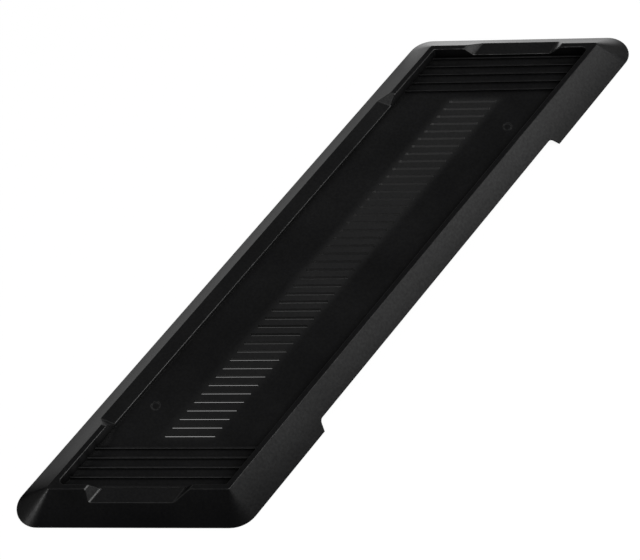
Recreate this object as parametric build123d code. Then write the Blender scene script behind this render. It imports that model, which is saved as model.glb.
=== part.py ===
"""Vertical stand for a game console: one moulded tray with a sloped skirt, on four rubber feet.

The origin is on the table under the middle of the stand, with X across the stand, Y along its long
sides and Z up. The two ends are slanted in plan, as the ends of the console are, so a place along the
stand is given on the centre line and carried across with that slant. Lengths are in millimetres.
"""
from build123d import *
from math import cos, hypot, radians, sin, tan
import os

# Plan of the skirt at its bottom edge
base_width = 87.0
base_length = 304.0
end_slant = 34.5
acute_corner_radius = 9.5
obtuse_corner_radius = 13.0

# Skirt and rim
skirt_height = 12.0
skirt_run = 12.0
rim_width = 2.3
rim_corner_radius = 0.9
rim_edge_radius = 0.45
wall = 2.0

# Tray that takes the console
tray_depth = 6.0
tray_draft = 0.4
tray_corner_radius = 1.6
floor_thickness = 2.0

# Dips in the rim: one long one on the left side and one short one at each end
dip_drop = 4.2
ramp_radius = 1.6
side_dip_margin = 31.4
side_dip_ramp = 4.2
side_dip_skew = 12.0
side_dip_shift = 1.5
end_dip_margin = 11.3
end_dip_ramp = 3.4

# Air gap along the bottom edge of the right side
gap_margin = 63.5
gap_height = 3.5
gap_end_lean = 2.2
gap_corner_radius = 2.5
gap_shift = -9.2

# Ribs that the console stands on, counted from each end of the tray
rib_count = 5
rib_margin = 1.0
rib_pitch = 5.5
rib_width = 1.0
rib_height = 1.05
shoulder_width = 0.35
shoulder_height = 0.12

# Vent slots through the tray floor, as many as fit between the ribs
slot_margin = 7.0
slot_pitch = 4.94
slot_length = 21.4
slot_width = 1.25

# Round ejector marks in the tray floor
mark_diameter = 4.0
mark_depth = 0.3
mark_side_margin = 7.8
mark_end_margin = 47.75

# Rubber feet in their rings under the tray
foot_diameter = 12.0
foot_proud = 0.8
foot_clearance = 0.15
ring_wall = 1.5
ring_height = 2.4
ring_margin = 1.0

# Values that follow from the sizes above
slant = radians(end_slant)
skew = radians(side_dip_skew)
floor_top = skirt_height - tray_depth
floor_underside = floor_top - floor_thickness
rim_inner_inset = skirt_run + rim_width
tray_floor_inset = rim_inner_inset + tray_draft
skirt_wall_across = wall * hypot(skirt_height, skirt_run) / skirt_height
reach = base_length + base_width


def half_width(inset):
    """Half the width of the plan after all four sides are moved in by inset."""
    return base_width / 2 - inset


def half_length(inset):
    """Half the length of the plan along its centre line after all four sides are moved in by inset."""
    return base_length / 2 - inset / cos(slant)


def rib_distance(index):
    """How far along from the middle a rib is, counted inwards from the end of the tray."""
    return half_length(tray_floor_inset) - rib_margin - index * rib_pitch


def outline(inset, acute_radius, obtuse_radius, height):
    """The slanted plan, moved in by inset and rounded at its corners, as a level face."""
    across = half_width(inset)
    along = half_length(inset)
    lean = across * tan(slant)
    corners = [
        (-across, -along - lean),
        (across, -along + lean),
        (across, along + lean),
        (-across, along - lean),
    ]
    radii = [acute_radius, obtuse_radius, acute_radius, obtuse_radius]
    return Pos(0, 0, height) * make_face(FilletPolyline(*corners, radius=radii, close=True))


def slanted_place(across, along, height):
    """A place in the plan: across from the centre line, and along it with the slant of the ends."""
    return Pos(across, along + across * tan(slant), height)


def skirt_block():
    """The outside of the moulding: planes on four sides, with cones round the corners."""
    bottom = outline(0, acute_corner_radius, obtuse_corner_radius, 0)
    top = outline(skirt_run, rim_corner_radius, rim_corner_radius, skirt_height)
    return loft([bottom, top], ruled=True)


def tray_pocket():
    """The space that takes the console, with drafted walls."""
    bottom = outline(tray_floor_inset, tray_corner_radius, tray_corner_radius, floor_top)
    top = outline(rim_inner_inset, tray_corner_radius, tray_corner_radius, skirt_height)
    return loft([bottom, top], ruled=True)


def tray_block():
    """The tray's own walls and floor, filled in, as far as their undersides."""
    outer_radius = tray_corner_radius + wall
    bottom = outline(tray_floor_inset - wall, outer_radius, outer_radius, floor_underside)
    top = outline(rim_inner_inset - wall, outer_radius, outer_radius, skirt_height)
    return loft([bottom, top], ruled=True)


def dip_section(half_top, ramp, margin):
    """A wide V with a flat bottom, open above the rim, grown on its lower sides by margin."""
    low = skirt_height - dip_drop - margin
    low_half = half_top - ramp + margin
    high = skirt_height + dip_drop
    high_half = low_half + ramp * (high - low) / dip_drop
    return Polygon((-low_half, low), (low_half, low), (high_half, high), (-high_half, high), align=None)


def dips(margin):
    """The three cuts in the rim: one across the left side, and one along the stand at each end."""
    rim_half_width = half_width(rim_inner_inset)
    rim_half_length = half_length(rim_inner_inset)
    rim_lean = rim_half_width * tan(slant)
    side_origin = (wall - rim_half_width, side_dip_shift - rim_lean, 0)
    side_plane = Plane(origin=side_origin, x_dir=(0, -1, 0), z_dir=(-1, 0, 0))
    side_section = dip_section(rim_half_length - side_dip_margin, side_dip_ramp, margin)
    side_cut = extrude(side_plane * side_section, reach, dir=(-cos(skew), -sin(skew), 0))
    end_origin = (0, rim_lean - rim_half_length, 0)
    end_plane = Plane(origin=end_origin, x_dir=(1, 0, 0), z_dir=(0, -1, 0))
    end_section = dip_section(rim_half_width - end_dip_margin, end_dip_ramp, margin)
    near_cut = extrude(end_plane * end_section, reach)
    far_cut = Rot(0, 0, 180) * near_cut
    return [side_cut, near_cut, far_cut]


def rim_faces(body):
    """The rim's top, its ramps and the floors of its dips: the faces up there that look upwards."""
    lowest = skirt_height - dip_drop - rim_edge_radius
    ramp_upward = end_dip_ramp / hypot(end_dip_ramp, dip_drop)
    high_faces = [face for face in body.faces() if face.bounding_box().min.Z > lowest]
    return [face for face in high_faces if face.normal_at().Z > ramp_upward / 2]


def rim_edges(body, sharing):
    """Edges of the rim's top: two of its faces share an edge across it, and one has an edge along it."""
    edges = [edge for face in rim_faces(body) for edge in face.edges()]
    return [edge for edge in edges if sum(edge.is_same(other) for other in edges) == sharing]


def underside_hollow():
    """The open space under the skirt and the tray, one wall thickness inside the outer faces."""
    top_height = skirt_height - wall
    top_inset = skirt_wall_across + top_height * skirt_run / skirt_height
    acute_radius = acute_corner_radius - skirt_wall_across
    obtuse_radius = obtuse_corner_radius - skirt_wall_across
    bottom = outline(skirt_wall_across, acute_radius, obtuse_radius, 0)
    top = outline(top_inset, rim_corner_radius, rim_corner_radius, top_height)
    hollow = loft([bottom, top], ruled=True) - tray_block()
    return hollow - dips(wall)


def air_gap():
    """The long cut in the bottom edge of the right side, with leaning ends and rounded upper corners."""
    middle = half_width(0) * tan(slant) + gap_shift
    low_half = half_length(0) - gap_margin
    high_half = low_half - gap_end_lean
    below = -gap_height
    low_end = low_half - gap_end_lean * below / gap_height
    path = FilletPolyline(
        (-low_end, below),
        (-high_half, gap_height),
        (high_half, gap_height),
        (low_end, below),
        radius=[0, gap_corner_radius, gap_corner_radius, 0],
        close=True,
    )
    plane = Plane(origin=(half_width(skirt_run), middle, 0), x_dir=(0, 1, 0), z_dir=(1, 0, 0))
    return extrude(plane * make_face(path), 2 * skirt_run)


def vent_slots():
    """One column of square-ended slots down the middle of the tray, parallel to the ends."""
    slot = Rot(0, 0, end_slant) * extrude(Rectangle(slot_length, slot_width), floor_thickness)
    each_way = int((rib_distance(rib_count - 1) - slot_margin) / slot_pitch)
    return [slanted_place(0, i * slot_pitch, floor_underside) * slot for i in range(-each_way, each_way + 1)]


def floor_marks():
    """Two shallow round marks left in the floor by the mould."""
    mark = extrude(Circle(mark_diameter / 2), mark_depth)
    across = half_width(tray_floor_inset) - mark_side_margin
    along = half_length(tray_floor_inset) - mark_end_margin
    height = floor_top - mark_depth
    return [slanted_place(side * across, side * along, height) * mark for side in (-1, 1)]


def rib_section():
    """The end of one rib: it starts inside the floor and has a gently sloped shoulder on each side."""
    side = rib_width / 2
    bottom = -floor_thickness / 2
    shoulder = rib_height - shoulder_height
    corners = [
        (-side, bottom),
        (side, bottom),
        (side, shoulder),
        (side - shoulder_width, rib_height),
        (shoulder_width - side, rib_height),
        (-side, shoulder),
    ]
    return Polygon(*corners, align=None)


def end_ribs():
    """The low ribs at both ends of the tray, from wall to wall."""
    span = 2 * (half_width(tray_floor_inset) + wall / 2) / cos(slant)
    rib = extrude(Plane.YZ * rib_section(), span / 2, both=True)
    rib = Rot(0, 0, end_slant) * rib
    ribs = []
    for side in (-1, 1):
        for i in range(rib_count):
            ribs.append(slanted_place(0, side * rib_distance(i), floor_top) * rib)
    return ribs


def foot_places():
    """The four corners under the tray floor where the feet sit, by name."""
    ring_reach = foot_diameter / 2 + foot_clearance + ring_wall + ring_margin
    across = half_width(tray_floor_inset) - ring_reach
    along = half_length(tray_floor_inset) - ring_reach / cos(slant)
    return {
        "foot_near_left": (-across, -along),
        "foot_near_right": (across, -along),
        "foot_far_left": (-across, along),
        "foot_far_right": (across, along),
    }


def foot_rings():
    """Locating rings that hang from the underside of the tray floor round each foot."""
    inner = foot_diameter / 2 + foot_clearance
    section = Circle(inner + ring_wall) - Circle(inner)
    ring = extrude(section, ring_height)
    return [slanted_place(*place, floor_underside - ring_height) * ring for place in foot_places().values()]


def rubber_foot():
    """A round rubber plug, from the table up to the underside of the tray floor."""
    return extrude(Circle(foot_diameter / 2), foot_proud + floor_underside)


def stand_body():
    """The whole moulding, with the bottom edge of its skirt at the height that the feet give it."""
    body = skirt_block() - tray_pocket() - dips(0)
    body = fillet(rim_edges(body, 2), ramp_radius)
    body = fillet(rim_edges(body, 1), rim_edge_radius)
    body = body - underside_hollow() - air_gap()
    body = body + end_ribs() + foot_rings()
    body = body - vent_slots() - floor_marks()
    return Pos(0, 0, foot_proud) * body


os.makedirs("parts", exist_ok=True)
export_step(stand_body(), "parts/stand_body.step")
for name, place in foot_places().items():
    export_step(slanted_place(*place, 0) * rubber_foot(), f"parts/{name}.step")
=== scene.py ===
"""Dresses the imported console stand: black moulding, rubber feet, white table, soft light and camera.

Lengths are in metres, with X across the stand, Y along its long sides and Z up. A fade is two places,
or two other values, followed by what it gives at each of them.
"""
from math import radians, tan

import bpy
import numpy as np
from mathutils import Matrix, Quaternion, Vector


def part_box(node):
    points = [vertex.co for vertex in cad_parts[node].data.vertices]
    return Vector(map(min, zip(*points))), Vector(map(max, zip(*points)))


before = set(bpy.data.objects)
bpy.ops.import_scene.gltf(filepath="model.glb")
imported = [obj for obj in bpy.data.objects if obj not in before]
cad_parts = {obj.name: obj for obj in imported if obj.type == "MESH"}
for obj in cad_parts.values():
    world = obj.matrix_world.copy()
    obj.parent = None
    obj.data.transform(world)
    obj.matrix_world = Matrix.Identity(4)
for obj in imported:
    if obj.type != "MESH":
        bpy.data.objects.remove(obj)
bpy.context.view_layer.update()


# The moulding
# One injection moulding in black ABS: tray, rim, ribs and skirt. Its mould was spark eroded to a fine
# even grain, so the faces are satin and glossier in patches. Its colour has painted highlights on the
# rim's rounded edges and slot ends, painted light on the lands and slot walls, and painted shade in the
# recesses.
end_slant = radians(34.5)
floor_thickness = 0.0020
rib_height = 0.00105
rim_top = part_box("stand_body")[1].z
# The feet reach up to the underside of the tray floor
floor_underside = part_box("foot_near_left")[1].z
floor_top = floor_underside + floor_thickness
rib_top = floor_top + rib_height
slot_half_width = 0.0088
slots_half_length = 0.106
column_half_width = 0.0095
mark_across = 0.0210
mark_along = 0.0864
mark_radius = 0.0020

deep_black = (0.0040, 0.0040, 0.0043)
soft_black = (0.0055, 0.0055, 0.0059)
# The next five colours are painted shade and light: shade in the recesses, a highlight on the rim edges,
# light on the lands and slot walls, and glints at the slot ends.
painted_recess_shade_black = (0.0008, 0.0008, 0.0008)
painted_edge_highlight_grey = (0.016, 0.016, 0.016)
painted_land_light_grey = (0.0175, 0.0175, 0.0178)
painted_slot_wall_light_grey = (0.075, 0.075, 0.075)
painted_slot_end_glint_grey = (0.30, 0.30, 0.30)
mark_grey = (0.045, 0.045, 0.045)


class Wiring:
    """The nodes and links of one material or room, with the few kinds of step that they are made from."""

    def __init__(self, tree):
        self.nodes = tree.nodes
        self.links = tree.links

    def feed(self, value, socket):
        """Sets a socket to a plain number or colour, or joins another node's output to it."""
        if isinstance(value, float):
            socket.default_value = value
        elif isinstance(value, tuple):
            socket.default_value = (*value, 1)
        else:
            self.links.new(value, socket)

    def place(self):
        """Where a point is, in the piece's own metres."""
        return self.nodes.new("ShaderNodeTexCoord").outputs["Object"]

    def parts(self, vector):
        """The X, Y and Z parts of a vector."""
        split = self.nodes.new("ShaderNodeSeparateXYZ")
        self.links.new(vector, split.inputs["Vector"])
        return split.outputs["X"], split.outputs["Y"], split.outputs["Z"]

    def levelness(self):
        """How far the surface faces upwards: 1 on a level face and 0 on an upright one."""
        normal = self.nodes.new("ShaderNodeNewGeometry").outputs["Normal"]
        return self.parts(normal)[2]

    def maths(self, kind, first, second=0.0):
        """A maths node of the given kind on two values."""
        step = self.nodes.new("ShaderNodeMath")
        step.operation = kind
        self.feed(first, step.inputs[0])
        self.feed(second, step.inputs[1])
        return step.outputs["Value"]

    def product(self, first, *others):
        """Several values multiplied together."""
        result = first
        for other in others:
            result = self.maths("MULTIPLY", result, other)
        return result

    def less(self, value, share):
        """A value with a share of it taken away."""
        return self.maths("SUBTRACT", value, self.product(value, share))

    def between(self, value, lowest, highest, at_lowest, at_highest):
        """Goes smoothly from at_lowest to at_highest as the value goes from lowest to highest."""
        fade = self.nodes.new("ShaderNodeMapRange")
        fade.interpolation_type = "SMOOTHSTEP"
        self.feed(value, fade.inputs["Value"])
        self.feed(lowest, fade.inputs["From Min"])
        self.feed(highest, fade.inputs["From Max"])
        self.feed(at_lowest, fade.inputs["To Min"])
        self.feed(at_highest, fade.inputs["To Max"])
        return fade.outputs["Result"]

    def past(self, value, edge, soft):
        """0 where a value is short of an edge and 1 where it is past it, over a soft step."""
        return self.between(value, edge - soft, edge + soft, 0.0, 1.0)

    def short_of(self, value, edge, soft):
        """1 where a value is short of an edge and 0 where it is past it, over a soft step."""
        return self.between(value, edge - soft, edge + soft, 1.0, 0.0)

    def within(self, value, half, soft):
        """1 where a value lies within half of 0, and 0 where it lies outside, over a soft step."""
        return self.short_of(self.maths("ABSOLUTE", value), half, soft)

    def band(self, value, lowest, highest, soft):
        """1 where a value lies from lowest to highest, and 0 where it lies outside, over soft steps."""
        return self.product(self.past(value, lowest, soft), self.short_of(value, highest, soft))

    def grain(self, size, detail=2.0):
        """Noise on the piece's own metres, where one grain is about size across."""
        noise = self.nodes.new("ShaderNodeTexNoise")
        self.feed(self.place(), noise.inputs["Vector"])
        self.feed(1 / size, noise.inputs["Scale"])
        self.feed(detail, noise.inputs["Detail"])
        return noise.outputs["Fac"]

    def spread(self, noise, lowest, highest):
        """Noise carried to lowest and highest from the low and high values that nearly all of it has."""
        low_noise = 0.3
        high_noise = 0.7
        ramp = self.nodes.new("ShaderNodeMapRange")
        self.feed(noise, ramp.inputs["Value"])
        self.feed(low_noise, ramp.inputs["From Min"])
        self.feed(high_noise, ramp.inputs["From Max"])
        self.feed(lowest, ramp.inputs["To Min"])
        self.feed(highest, ramp.inputs["To Max"])
        return ramp.outputs["Result"]

    def mixed(self, share, first, second):
        """A colour between the first, where the share is 0, and the second, where it is 1."""
        blend = self.nodes.new("ShaderNodeMix")
        blend.data_type = "RGBA"
        first_colour, second_colour = [socket for socket in blend.inputs if socket.type == "RGBA"]
        self.feed(share, blend.inputs[0])
        self.feed(first, first_colour)
        self.feed(second, second_colour)
        return next(socket for socket in blend.outputs if socket.type == "RGBA")

    def raised(self, value, height, under=None):
        """A bump as high as height where the value is 1, on top of another normal if there is one."""
        bump = self.nodes.new("ShaderNodeBump")
        self.feed(1.0, bump.inputs["Strength"])
        self.feed(height, bump.inputs["Distance"])
        self.feed(value, bump.inputs["Height"])
        if under is not None:
            self.feed(under, bump.inputs["Normal"])
        return bump.outputs["Normal"]

    def slanted_plan(self):
        """Where a point is in the stand's plan: across, along with the slant of the ends, and up."""
        across, along, height = self.parts(self.place())
        lean = self.product(across, tan(end_slant))
        return across, self.maths("SUBTRACT", along, lean), height


def new_material(name):
    """An empty material, with its wiring and the shader that its surface comes from."""
    material = bpy.data.materials.new(name)
    material.use_nodes = True
    return material, Wiring(material.node_tree), material.node_tree.nodes["Principled BSDF"]


def vent_column(wiring, across, along, height):
    """1 on the column of vent slots down the middle of the tray floor, and 0 beside it and under it."""
    soft_side = 0.0025
    soft_end = 0.0020
    skin = 0.00006
    soft_skin = 0.00004
    near_middle = wiring.within(across, column_half_width, soft_side)
    near_slots = wiring.within(along, slots_half_length, soft_end)
    off_underside = wiring.past(height, floor_underside + skin, soft_skin)
    return wiring.product(near_middle, near_slots, off_underside)


def below_floor_top(wiring, height):
    """1 below the top of the tray floor, as on the walls of the slots, and 0 above it."""
    skin = 0.00010
    soft_skin = 0.00005
    return wiring.short_of(height, floor_top - skin, soft_skin)


def painted_edge_highlights(wiring):
    """Where a highlight is painted: 1 on the rounded edges of the rim, by how far their faces lean, and 0
    on the faces beside them.
    """
    least_level = 0.75
    most_level = 0.9175
    soft = 0.03
    return wiring.band(wiring.levelness(), least_level, most_level, soft)


def rib_shoulders(wiring, height):
    """1 on the sloped shoulders of the ribs, by their height and how far they lean, and 0 elsewhere."""
    least_level = 0.915
    most_level = 0.970
    soft_lean = 0.015
    off_floor = 0.0003
    over_rib = 0.0002
    soft_height = 0.00015
    leaning = wiring.band(wiring.levelness(), least_level, most_level, soft_lean)
    at_height = wiring.band(height, floor_top + off_floor, rib_top + over_rib, soft_height)
    return wiring.product(leaning, at_height)


def mark_rings(wiring, height, mottle):
    """1 round the two ejector marks in the tray floor, broken up by the mottle, and 0 elsewhere."""
    ring_inner = mark_radius - 0.0005
    ring_outer = mark_radius + 0.0002
    ring_soft = 0.0002
    ring_bottom = floor_top - 0.0005
    ring_bottom_soft = 0.0001
    ring_strength = (0.1, 1.0)
    mark_forward = mark_along + mark_across * tan(end_slant)
    rings = 0.0
    for side in (-1, 1):
        reach = wiring.nodes.new("ShaderNodeVectorMath")
        reach.operation = "DISTANCE"
        reach.inputs[1].default_value = (side * mark_across, side * mark_forward, floor_top)
        wiring.feed(wiring.place(), reach.inputs[0])
        ring = wiring.band(reach.outputs["Value"], ring_inner, ring_outer, ring_soft)
        rings = wiring.maths("MAXIMUM", ring, rings)
    on_top = wiring.past(height, ring_bottom, ring_bottom_soft)
    return wiring.product(rings, on_top, wiring.spread(mottle, *ring_strength))


def recess_shade(wiring):
    """1 on open faces, and less at the foot of the walls, where they keep the light of the room out."""
    wall_reach = 0.007
    shade_fade = (0.40, 0.95, 0.35, 1.0)
    room = wiring.nodes.new("ShaderNodeAmbientOcclusion")
    room.samples = 8
    room.only_local = True
    room.inputs["Distance"].default_value = wall_reach
    return wiring.between(room.outputs["AO"], *shade_fade)


def plastic_colour(wiring, plan, patches, mottle, column, slot_walls, shade):
    """Black, paler on the marks; painted light on lands and slot walls, glints at slot ends, rim-edge
    highlights, recess shade.
    """
    land_light_fade = (-0.110, 0.020, 0.36, 1.0)
    wall_light_fade = (-0.030, 0.090, 0.12, 0.70)
    slot_end = slot_half_width - 0.0007
    slot_end_soft = 0.0003
    across, along, height = plan
    # Painted light on the lands between the slots, paler towards the far end.
    painted_land_light = wiring.product(column, wiring.between(along, *land_light_fade))
    # Painted light on the walls of the slots, paler towards the far end.
    painted_wall_light = wiring.product(slot_walls, wiring.between(along, *wall_light_fade))
    # Painted glints at the ends of the slot walls.
    glint_ends = wiring.past(wiring.maths("ABSOLUTE", across), slot_end, slot_end_soft)
    colour = wiring.mixed(patches, deep_black, soft_black)
    colour = wiring.mixed(painted_land_light, colour, painted_land_light_grey)
    colour = wiring.mixed(painted_wall_light, colour, painted_slot_wall_light_grey)
    colour = wiring.mixed(wiring.product(painted_wall_light, glint_ends), colour, painted_slot_end_glint_grey)
    colour = wiring.mixed(mark_rings(wiring, height, mottle), colour, mark_grey)
    # Painted highlight along the rim's rounded edges.
    colour = wiring.mixed(painted_edge_highlights(wiring), colour, painted_edge_highlight_grey)
    # Painted shade at the foot of the walls, by how much of the room each point sees.
    return wiring.mixed(shade, painted_recess_shade_black, colour)


def plastic_gloss(wiring, plan, patches, mottle, shade):
    """How much the skin mirrors: more high up, far off and on the left, less on the rim and the ribs."""
    skin_gloss = (0.41, 0.59)
    patch_gloss = (0.90, 1.10)
    upward_fade = (0.0, rim_top, 0.56, 1.24)
    rim_fade = (rim_top - 0.0003, rim_top, 1.0, 0.6)
    lengthwise_fade = (-0.10, 0.10, 0.94, 1.09)
    crosswise_fade = (-0.028, 0.028, 1.20, 0.90)
    shoulder_fade = (-0.10, 0.10, 0.30, 0.65)
    across, along, height = plan
    skin = wiring.product(wiring.spread(mottle, *skin_gloss), wiring.spread(patches, *patch_gloss), shade)
    gloss = wiring.product(
        skin,
        wiring.between(height, *upward_fade),
        wiring.between(height, *rim_fade),
        wiring.between(along, *lengthwise_fade),
        wiring.between(across, *crosswise_fade),
    )
    dull = wiring.product(rib_shoulders(wiring, height), wiring.between(along, *shoulder_fade))
    return wiring.less(gloss, dull)


def satin_black_plastic():
    """Black ABS with a fine eroded grain, eased edges and patches of slightly different gloss."""
    patch_size = 0.03
    mottle_size = 0.0012
    grain_size = 0.0005
    grain_height = 0.00002
    eased_radius = 0.0001
    roughness = (0.31, 0.37)
    material, wiring, shader = new_material("satin_black_plastic")
    patches = wiring.grain(patch_size, detail=3.0)
    mottle = wiring.grain(mottle_size)
    fine = wiring.grain(grain_size)
    plan = wiring.slanted_plan()
    across, along, height = plan
    column = vent_column(wiring, across, along, height)
    slot_walls = wiring.product(column, below_floor_top(wiring, height))
    shade = wiring.maths("MAXIMUM", recess_shade(wiring), slot_walls)
    eased = wiring.nodes.new("ShaderNodeBevel")
    eased.samples = 6
    eased.inputs["Radius"].default_value = eased_radius
    colour = plastic_colour(wiring, plan, patches, mottle, column, slot_walls, shade)
    gloss = plastic_gloss(wiring, plan, patches, mottle, shade)
    shader.inputs["IOR"].default_value = 1.46
    wiring.feed(colour, shader.inputs["Base Color"])
    wiring.feed(gloss, shader.inputs["Specular IOR Level"])
    wiring.feed(wiring.spread(patches, *roughness), shader.inputs["Roughness"])
    wiring.feed(wiring.raised(fine, grain_height, eased.outputs["Normal"]), shader.inputs["Normal"])
    return material


def finish_node(name, material):
    """Gives a solid of the frame its finished material in place of the plain one."""
    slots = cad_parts[name].data.materials
    slots.clear()
    slots.append(material)


finish_node("stand_body", satin_black_plastic())


# The rubber feet
# Four round plugs of black rubber under the corners of the tray. They are moulded with a matt skin
# and pressed into the rings, and they lift the skirt just clear of the table.
dark_rubber = (0.016, 0.016, 0.016)
dusty_rubber = (0.030, 0.029, 0.028)


def matt_rubber():
    """Black rubber with a dusty, slightly mottled skin."""
    mottle_size = 0.004
    skin_size = 0.0004
    skin_height = 0.00004
    roughness = (0.75, 0.9)
    material, wiring, shader = new_material("matt_rubber")
    mottle = wiring.grain(mottle_size, detail=4.0)
    skin = wiring.grain(skin_size)
    wiring.feed(wiring.mixed(mottle, dark_rubber, dusty_rubber), shader.inputs["Base Color"])
    wiring.feed(wiring.spread(mottle, *roughness), shader.inputs["Roughness"])
    wiring.feed(wiring.raised(skin, skin_height), shader.inputs["Normal"])
    return material


foot_rubber = matt_rubber()
for foot_name in ("foot_near_left", "foot_near_right", "foot_far_left", "foot_far_right"):
    finish_node(foot_name, foot_rubber)


# The table
# A plain white sheet under the stand, evenly white to the eye apart from the stand's faint shadow and
# a painted shade beneath the stand that shows through its slots. Painted reflections in it make the
# stand's gloss bright behind the far end, grey along the left side and dim on the right.
sheet_half_side = 4.0
sheet_white = 1.06
paper_white = (0.82, 0.82, 0.82)
shadow_share = 0.10
# The place under the stand, where the sheet's painted shade lies.
under_half_width = 0.034
under_half_length = 0.140
under_soft_edge = 0.002


def sheet_mesh(name, half_side):
    """A flat square at height 0: x = half_side u and y = half_side v, for u and v of -1 and 1."""
    u, v = np.meshgrid(np.linspace(-1, 1, 2), np.linspace(-1, 1, 2))
    points = np.stack([half_side * u, half_side * v, 0 * u], axis=-1).reshape(-1, 3)
    mesh = bpy.data.meshes.new(name)
    mesh.from_pydata(points.tolist(), [], [(0, 1, 3, 2)])
    return mesh


def under_stand(wiring, across, along):
    """1 on the sheet under the stand, and 0 on the open sheet round it."""
    in_width = wiring.within(across, under_half_width, under_soft_edge)
    in_length = wiring.within(along, under_half_length, under_soft_edge)
    return wiring.product(in_width, in_length)


def painted_slot_shade(wiring, along, under):
    """Painted shade: the share of its white that the sheet lacks under the stand, most just past the near
    slots.
    """
    near_fade = (-0.055, -0.049, 0.585, 0.86)
    middle_fade = (-0.045, -0.015, 1.0, 0.85)
    far_fade = (0.0, 0.100, 1.0, 0.27)
    fades = [wiring.between(along, *fade) for fade in (near_fade, middle_fade, far_fade)]
    return wiring.product(under, *fades)


def left_painted_reflection(wiring, across, along, under):
    """Painted reflection: how white the sheet is in the gloss of the left side, with none past the near
    corner.
    """
    near_fade = (-0.165, -0.045, 0.21, 0.46)
    middle_fade = (0.0, 0.165, 1.0, 0.85)
    far_fade = (0.165, 0.200, 1.0, 0.20)
    right_fade = (-0.020, 0.010, 1.0, 0.20)
    corner_edge = -0.204
    corner_soft = 0.007
    fades = [wiring.between(along, *fade) for fade in (near_fade, middle_fade, far_fade)]
    corner_way = wiring.maths("ADD", along, wiring.product(across, 1.0 + tan(end_slant)))
    near_corner = wiring.past(corner_way, corner_edge, corner_soft)
    right_side = wiring.maths("MAXIMUM", wiring.between(across, *right_fade), under)
    return wiring.product(*fades, near_corner, right_side)


def far_painted_reflection(wiring, across, along):
    """Painted reflection: how white the sheet is in the gloss of the far end, a bright strip behind it.
    """
    start_fade = (0.140, 0.158, 0.0, 1.0)
    stop_fade = (0.185, 0.225, 1.0, 0.0)
    left_fade = (-0.059, -0.042, 0.0, 1.0)
    right_fade = (0.026, 0.037, 1.0, 0.05)
    lengthwise = [wiring.between(along, *fade) for fade in (start_fade, stop_fade)]
    crosswise = [wiring.between(across, *fade) for fade in (left_fade, right_fade)]
    return wiring.product(*lengthwise, *crosswise)


def white_sheet():
    """White paper: the camera sees its white with a share of real shadow, mirror rays see painted
    reflections, and both lose white to a painted shade under the stand.
    """
    material, wiring, shader = new_material("white_sheet")
    wiring.feed(paper_white, shader.inputs["Base Color"])
    shader.inputs["Roughness"].default_value = 0.9
    path = wiring.nodes.new("ShaderNodeLightPath")
    mirrored = wiring.maths("MAXIMUM", path.outputs["Is Glossy Ray"], path.outputs["Is Transmission Ray"])
    by_eye = wiring.product(path.outputs["Is Camera Ray"], 1 - shadow_share)
    across, along = wiring.slanted_plan()[:2]
    under = under_stand(wiring, across, along)
    # Painted reflections: the whites that mirror rays see, set by place on the sheet.
    beside_left = left_painted_reflection(wiring, across, along, under)
    behind_far_end = far_painted_reflection(wiring, across, along)
    painted_reflection_white = wiring.maths("ADD", beside_left, behind_far_end)
    white = wiring.between(mirrored, 0.0, 1.0, sheet_white, painted_reflection_white)
    glow = wiring.nodes.new("ShaderNodeEmission")
    # Painted shade: the sheet's white is lowered under the stand.
    wiring.feed(wiring.less(white, painted_slot_shade(wiring, along, under)), glow.inputs["Strength"])
    sheet = wiring.nodes.new("ShaderNodeMixShader")
    wiring.feed(wiring.maths("MAXIMUM", by_eye, mirrored), sheet.inputs["Fac"])
    wiring.feed(shader.outputs["BSDF"], sheet.inputs[1])
    wiring.feed(glow.outputs["Emission"], sheet.inputs[2])
    wiring.feed(sheet.outputs["Shader"], wiring.nodes["Material Output"].inputs["Surface"])
    return material


table_mesh = sheet_mesh("table", sheet_half_side)
table_mesh.materials.append(white_sheet())
table = bpy.data.objects.new("table", table_mesh)
bpy.context.collection.objects.link(table)


# The light
# A white studio room with a broad key lamp above on the right, and weaker soft lamps low on the right,
# overhead and in front. Dark cards above, in front and at the left keep the black faces from going grey.
room_white = 0.40
pure_white = (1.0, 1.0, 1.0)
horizon_fade = (0.0, 0.38, 0.08, 1.0)
stand_middle = Vector((0.0, 0.0, 0.0))


def soft_lamp(name, place, width, height, power):
    """A rectangular lamp at place, turned to shine at the stand."""
    light = bpy.data.lights.new(name, "AREA")
    light.shape = "RECTANGLE"
    light.size = width
    light.size_y = height
    light.energy = power
    lamp = bpy.data.objects.new(name, light)
    lamp.location = place
    lamp.rotation_euler = (stand_middle - Vector(place)).to_track_quat("-Z", "Y").to_euler()
    bpy.context.collection.objects.link(lamp)


def dark_card(wiring, toward, edge, full, light_left):
    """1 where the room is open, and the light that is left where a dark card hangs in one direction."""
    facing = wiring.nodes.new("ShaderNodeVectorMath")
    facing.operation = "DOT_PRODUCT"
    facing.inputs[1].default_value = toward
    wiring.feed(wiring.place(), facing.inputs[0])
    return wiring.between(facing.outputs["Value"], edge, full, 1.0, light_left)


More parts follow.
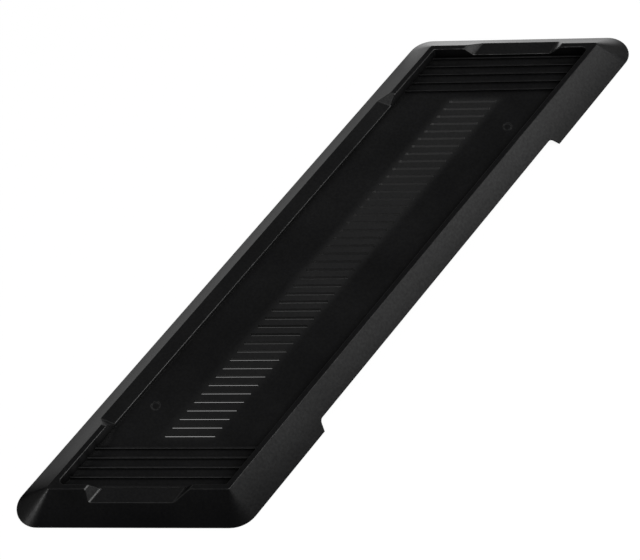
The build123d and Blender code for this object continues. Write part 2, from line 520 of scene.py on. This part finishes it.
def white_room():
    """A world that is evenly white to the camera, and lights the stand as a room hung with dark cards."""
    room = bpy.data.worlds.new("white_room")
    room.use_nodes = True
    wiring = Wiring(room.node_tree)
    upward = wiring.parts(wiring.place())[2]
    strength = wiring.product(
        dark_card(wiring, toward=(-0.30, 0.32, 0.90), edge=0.72, full=0.94, light_left=0.14),
        dark_card(wiring, toward=(0.52, -0.66, 0.54), edge=0.58, full=0.88, light_left=0.0),
        dark_card(wiring, toward=(-0.85, -0.50, 0.10), edge=0.62, full=0.92, light_left=0.05),
        wiring.between(upward, *horizon_fade),
        room_white,
    )
    light = wiring.nodes["Background"]
    wiring.feed(pure_white, light.inputs["Color"])
    wiring.feed(strength, light.inputs["Strength"])
    view = wiring.nodes.new("ShaderNodeBackground")
    wiring.feed(pure_white, view.inputs["Color"])
    path = wiring.nodes.new("ShaderNodeLightPath")
    either = wiring.nodes.new("ShaderNodeMixShader")
    wiring.feed(path.outputs["Is Camera Ray"], either.inputs["Fac"])
    wiring.feed(light.outputs["Background"], either.inputs[1])
    wiring.feed(view.outputs["Background"], either.inputs[2])
    wiring.feed(either.outputs["Shader"], wiring.nodes["World Output"].inputs["Surface"])
    return room


soft_lamp("key_lamp", place=(0.77, 0.09, 1.51), width=1.1, height=1.1, power=15.0)
soft_lamp("right_lamp", place=(1.45, 0.86, 0.28), width=0.70, height=0.4, power=1.75)
soft_lamp("top_lamp", place=(0.02, -0.48, 1.12), width=0.60, height=0.30, power=0.5)
soft_lamp("front_lamp", place=(-0.44, -1.21, 0.40), width=0.24, height=0.60, power=1.3)
bpy.context.scene.world = white_room()
bpy.context.scene.view_settings.view_transform = "Standard"


# The camera
# A long lens a little under a metre away. It stands off the near right corner of the stand, well above
# it, and leans to one side.
camera_spot = Vector((0.35276, -0.36617, 0.80373))
camera_aim = Vector((-0.0036, -0.00873, 0.0))
camera_lean = radians(-9.353)
lens_axis = Vector((0.0, 0.0, 1.0))
camera_data = bpy.data.cameras.new("camera")
camera_data.sensor_width = 36.0
camera_data.lens = 121.53
camera = bpy.data.objects.new("camera", camera_data)
camera.location = camera_spot
camera.rotation_mode = "QUATERNION"
level = (camera_aim - camera_spot).to_track_quat("-Z", "Y")
camera.rotation_quaternion = level @ Quaternion(lens_axis, camera_lean)
bpy.context.collection.objects.link(camera)
bpy.context.scene.camera = camera
